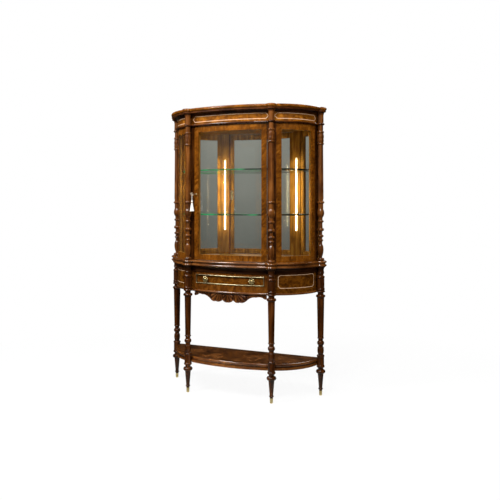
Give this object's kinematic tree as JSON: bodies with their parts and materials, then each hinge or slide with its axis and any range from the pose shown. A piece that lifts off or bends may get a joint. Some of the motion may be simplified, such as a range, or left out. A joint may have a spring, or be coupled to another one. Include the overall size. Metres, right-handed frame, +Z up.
{
  "type": "bow-front display cabinet on stand",
  "caption": "Bow-front glazed display cabinet on a stand with turned legs, an undertier, a frieze drawer, a lockable glazed door, glass shelves and a mirrored back.",
  "frame": {"origin": "middle of the footprint's bounding box, on the floor", "axes": "+X to the right seen from the front, +Y to the flat back, +Z up"},
  "size_m": [1.224, 0.396, 2],
  "materials": {
    "turned_wood": "gloss",
    "burl_veneer": "gloss",
    "carcass_wood": "satin",
    "brass": "polished",
    "glass": "clear",
    "mirror": "polished",
    "light_strip": "gloss",
    "tassel_thread": "matte"
  },
  "bodies": {
    "carcass": {"leg_front_left": "turned_wood", "leg_front_right": "turned_wood", "leg_back_left": "turned_wood", "leg_back_right": "turned_wood", "column_front_left": "turned_wood", "column_front_right": "turned_wood", "column_back_left": "turned_wood", "column_back_right": "turned_wood", "head_drums": "turned_wood", "waist_cove": "turned_wood", "base_moulding": "turned_wood", "head_bead": "turned_wood", "cornice": "turned_wood", "top_board": "turned_wood", "frieze_beads": "turned_wood", "carved_apron": "turned_wood", "undertier_bands": "turned_wood", "cabinet_posts": "turned_wood", "door_stop": "turned_wood", "undertier_board": "burl_veneer", "frieze_lower_rail": "burl_veneer", "frieze_upper_rail": "burl_veneer", "drawer_opening_stiles": "burl_veneer", "frieze_side_panels": "burl_veneer", "head_front_panel": "burl_veneer", "head_side_panels": "burl_veneer", "side_frame_stiles": "burl_veneer", "side_frame_rails": "burl_veneer", "side_glazing_beads": "burl_veneer", "stand_back_rail": "carcass_wood", "frieze_corner_blocks": "carcass_wood", "stand_top_board": "carcass_wood", "cabinet_floor": "carcass_wood", "ceiling_board": "carcass_wood", "back_panel": "carcass_wood", "drawer_runners": "carcass_wood", "foot_ferrules": "brass", "drawer_brass_bead": "brass", "pivot_pins": "brass", "shelf_pins": "brass", "side_glass": "glass", "glass_shelves": "glass", "mirror": "mirror", "led_strips": "light_strip"},
    "door": {"door_lock_stile": "burl_veneer", "door_hinge_stile": "burl_veneer", "door_rails": "burl_veneer", "door_glass": "glass", "door_glazing_beads": "burl_veneer", "lock_case": "brass", "escutcheon": "brass", "pivot_bushes": "brass"},
    "drawer": {"drawer_front": "burl_veneer", "drawer_box": "carcass_wood", "drawer_bottom": "carcass_wood", "drawer_knobs": "brass"},
    "key": {"key": "brass"},
    "lock_bolt": {"lock_bolt": "brass"},
    "tassel": {"tassel_cord": "tassel_thread", "tassel": "tassel_thread"}
  },
  "joints": [
    {"name": "door_swing", "type": "hinge", "parent": "carcass", "child": "door", "pos_m": [0.26467, -0.10876, 0.939], "axis": [0, 0, 1], "range_deg": [0, 90]},
    {"name": "drawer_slide", "type": "slide", "parent": "carcass", "child": "drawer", "axis": [0, -1, 0], "range_m": [0, 0.2]},
    {"name": "key_turn", "type": "hinge", "parent": "door", "child": "key", "pos_m": [-0.26402, -0.1481, 1.399], "axis": [-0.2382, -0.9712, 0], "range_deg": [0, 90]},
    {"name": "bolt_slide", "type": "slide", "parent": "door", "child": "lock_bolt", "axis": [-0.9712, 0.2382, 0], "range_m": [0, 0.008]},
    {"name": "tassel_swing", "type": "hinge", "parent": "key", "child": "tassel", "pos_m": [-0.26783, -0.16364, 1.3895], "axis": [-0.2382, -0.9712, 0], "range_deg": [-90, 0]}
  ],
  "couplings": [
    {"joint": "bolt_slide", "follows": "key_turn", "m_per_rad": 0.005093},
    {"joint": "tassel_swing", "follows": "key_turn", "ratio": -1}
  ]
}
